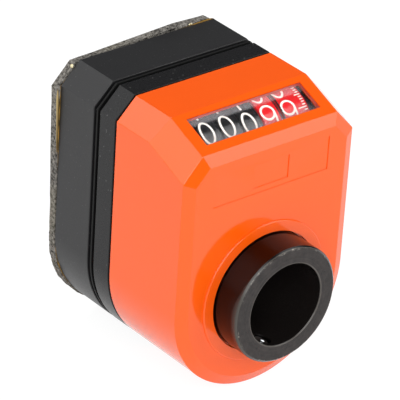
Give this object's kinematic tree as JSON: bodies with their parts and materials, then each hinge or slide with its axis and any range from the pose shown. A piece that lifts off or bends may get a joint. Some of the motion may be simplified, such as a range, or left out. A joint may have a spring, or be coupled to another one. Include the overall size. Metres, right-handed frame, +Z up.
{
  "type": "mechanical position indicator",
  "caption": "Hollow-shaft position indicator: bevelled housing on a bored steel hub, with geared digit drums behind a sloping window and a torque pin at the rear.",
  "frame": {"origin": "on the spindle axis, in the plane of the base's rear face under the foam gasket", "axes": "+Y along the spindle axis towards the machine, -Y to the front face, +Z up to the window, +X to the right seen from the front"},
  "size_m": [0.0489, 0.0606, 0.0674],
  "materials": {
    "case_orange": "smooth moulded orange plastic",
    "housing_black": "moulded black plastic with a fine grain",
    "lens_clear": "clear polished plastic window",
    "seal_grey": "soft sealing lip",
    "foam_grey": "open-cell foam, cut edge",
    "adhesive_amber": "dried amber adhesive film",
    "steel_bright": "ground bright steel",
    "steel_black": "black oxide on turned steel",
    "gear_natural": "natural acetal",
    "drum_black": "black moulded drum with white numerals",
    "drum_red": "red moulded drum with white numerals",
    "frame_black": "black moulded frame",
    "seal_black": "nitrile rubber ring"
  },
  "bodies": {
    "housing": {"front_case": "case_orange", "window_lens": "lens_clear", "middle_ring": "housing_black", "joint_seal": "seal_grey", "rear_base": "housing_black", "adhesive_film": "adhesive_amber", "foam_gasket": "foam_grey", "torque_pin": "steel_bright", "thrust_washer": "gear_natural", "counter_frame": "frame_black", "drum_axle": "steel_bright", "carry_plate_1": "frame_black", "carry_plate_2": "frame_black", "carry_plate_3": "frame_black", "carry_plate_4": "frame_black"},
    "hub": {"hub": "steel_black", "hub_gear": "gear_natural", "gear_circlip": "steel_black", "grub_screw": "steel_black", "front_seal": "seal_black"},
    "cross_shaft": {"cross_shaft": "steel_bright", "screw_pinion": "gear_natural", "cross_gear": "gear_natural"},
    "drum_1": {"drum_1": "drum_black"},
    "drum_2": {"drum_2": "drum_black"},
    "drum_3": {"drum_3": "drum_black"},
    "drum_4": {"drum_4": "drum_red"},
    "drum_5": {"drum_5": "drum_red", "drum_gear": "frame_black"},
    "carry_pinion_1": {"carry_pinion_1": "gear_natural"},
    "carry_pinion_2": {"carry_pinion_2": "gear_natural"},
    "carry_pinion_3": {"carry_pinion_3": "gear_natural"},
    "carry_pinion_4": {"carry_pinion_4": "gear_natural"}
  },
  "joints": [
    {"name": "hub_turn", "type": "hinge", "parent": "housing", "child": "hub", "pos_m": [0, 0, 0], "axis": [0, 1, 0], "continuous": true},
    {"name": "cross_shaft_turn", "type": "hinge", "parent": "housing", "child": "cross_shaft", "pos_m": [0, -0.01698, 0.02187], "axis": [1, 0, 0], "continuous": true},
    {"name": "drum_5_turn", "type": "hinge", "parent": "housing", "child": "drum_5", "pos_m": [0, -0.03059, 0.03025], "axis": [1, 0, 0], "continuous": true},
    {"name": "drum_4_turn", "type": "hinge", "parent": "housing", "child": "drum_4", "pos_m": [0, -0.03059, 0.03025], "axis": [1, 0, 0], "continuous": true},
    {"name": "drum_3_turn", "type": "hinge", "parent": "housing", "child": "drum_3", "pos_m": [0, -0.03059, 0.03025], "axis": [1, 0, 0], "continuous": true},
    {"name": "drum_2_turn", "type": "hinge", "parent": "housing", "child": "drum_2", "pos_m": [0, -0.03059, 0.03025], "axis": [1, 0, 0], "continuous": true},
    {"name": "drum_1_turn", "type": "hinge", "parent": "housing", "child": "drum_1", "pos_m": [0, -0.03059, 0.03025], "axis": [1, 0, 0], "continuous": true},
    {"name": "carry_pinion_4_turn", "type": "hinge", "parent": "housing", "child": "carry_pinion_4", "pos_m": [0, -0.03059, 0.0243], "axis": [1, 0, 0], "continuous": true},
    {"name": "carry_pinion_3_turn", "type": "hinge", "parent": "housing", "child": "carry_pinion_3", "pos_m": [0, -0.03059, 0.0243], "axis": [1, 0, 0], "continuous": true},
    {"name": "carry_pinion_2_turn", "type": "hinge", "parent": "housing", "child": "carry_pinion_2", "pos_m": [0, -0.03059, 0.0243], "axis": [1, 0, 0], "continuous": true},
    {"name": "carry_pinion_1_turn", "type": "hinge", "parent": "housing", "child": "carry_pinion_1", "pos_m": [0, -0.03059, 0.0243], "axis": [1, 0, 0], "continuous": true}
  ],
  "couplings": [
    {"joint": "cross_shaft_turn", "follows": "hub_turn", "ratio": -4},
    {"joint": "drum_5_turn", "follows": "hub_turn", "ratio": 4},
    {"joint": "drum_4_turn", "follows": "hub_turn", "ratio": 0.4},
    {"joint": "drum_3_turn", "follows": "hub_turn", "ratio": 0.04},
    {"joint": "drum_2_turn", "follows": "hub_turn", "ratio": 0.004},
    {"joint": "drum_1_turn", "follows": "hub_turn", "ratio": 0.0004},
    {"joint": "carry_pinion_4_turn", "follows": "hub_turn", "ratio": 1.3333},
    {"joint": "carry_pinion_3_turn", "follows": "hub_turn", "ratio": 0.13333},
    {"joint": "carry_pinion_2_turn", "follows": "hub_turn", "ratio": 0.013333},
    {"joint": "carry_pinion_1_turn", "follows": "hub_turn", "ratio": 0.0013333}
  ]
}
